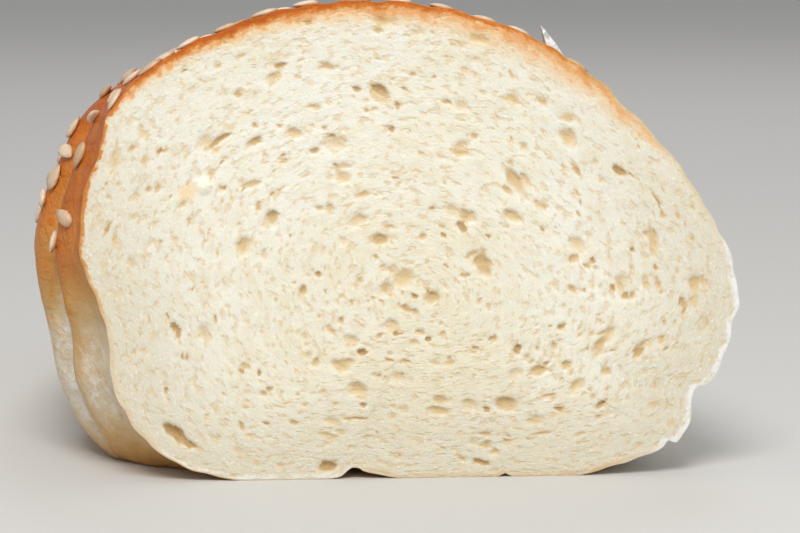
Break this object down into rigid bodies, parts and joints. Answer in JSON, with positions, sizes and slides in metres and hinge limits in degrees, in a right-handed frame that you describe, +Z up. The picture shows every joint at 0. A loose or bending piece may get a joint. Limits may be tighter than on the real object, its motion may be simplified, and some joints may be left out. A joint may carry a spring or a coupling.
{
  "type": "half crescent roll",
  "caption": "Half of a baked crescent roll, cut across its thickest place, with an open coiled crumb and sesame seeds and coarse salt on a golden crust.",
  "frame": {"origin": "middle of the underside of the part's bounding box, on the surface that the roll rests on", "axes": "+Z up as baked; the flat cut face looks along -Y; the tapering end points back to +Y and bends gently to -X"},
  "size_m": [0.0782, 0.088, 0.0533],
  "materials": {
    "baked_dough": "satin",
    "sesame": "satin",
    "salt": "gloss"
  },
  "bodies": {
    "root": {"crescent_roll_half": "baked_dough", "salt_grain": "salt", "sesame_seed_01": "sesame", "sesame_seed_02": "sesame", "sesame_seed_03": "sesame", "sesame_seed_04": "sesame", "sesame_seed_05": "sesame", "sesame_seed_06": "sesame", "sesame_seed_07": "sesame", "sesame_seed_08": "sesame", "sesame_seed_09": "sesame", "sesame_seed_10": "sesame", "sesame_seed_11": "sesame", "sesame_seed_12": "sesame", "sesame_seed_13": "sesame", "sesame_seed_14": "sesame", "sesame_seed_15": "sesame", "sesame_seed_16": "sesame", "sesame_seed_17": "sesame", "sesame_seed_18": "sesame", "sesame_seed_19": "sesame", "sesame_seed_20": "sesame", "sesame_seed_21": "sesame", "sesame_seed_22": "sesame", "sesame_seed_23": "sesame", "sesame_seed_24": "sesame", "sesame_seed_25": "sesame", "sesame_seed_26": "sesame", "sesame_seed_27": "sesame", "sesame_seed_28": "sesame", "sesame_seed_29": "sesame", "sesame_seed_30": "sesame", "sesame_seed_31": "sesame", "sesame_seed_32": "sesame", "sesame_seed_33": "sesame", "sesame_seed_34": "sesame", "sesame_seed_35": "sesame", "sesame_seed_36": "sesame", "sesame_seed_37": "sesame", "sesame_seed_38": "sesame", "sesame_seed_39": "sesame", "sesame_seed_40": "sesame", "sesame_seed_41": "sesame", "sesame_seed_42": "sesame", "sesame_seed_43": "sesame", "sesame_seed_44": "sesame", "sesame_seed_45": "sesame", "sesame_seed_46": "sesame", "sesame_seed_47": "sesame", "sesame_seed_48": "sesame", "sesame_seed_49": "sesame", "sesame_seed_50": "sesame", "sesame_seed_51": "sesame", "sesame_seed_52": "sesame", "sesame_seed_53": "sesame", "sesame_seed_54": "sesame", "sesame_seed_55": "sesame", "sesame_seed_56": "sesame", "sesame_seed_57": "sesame"}
  },
  "joints": []
}
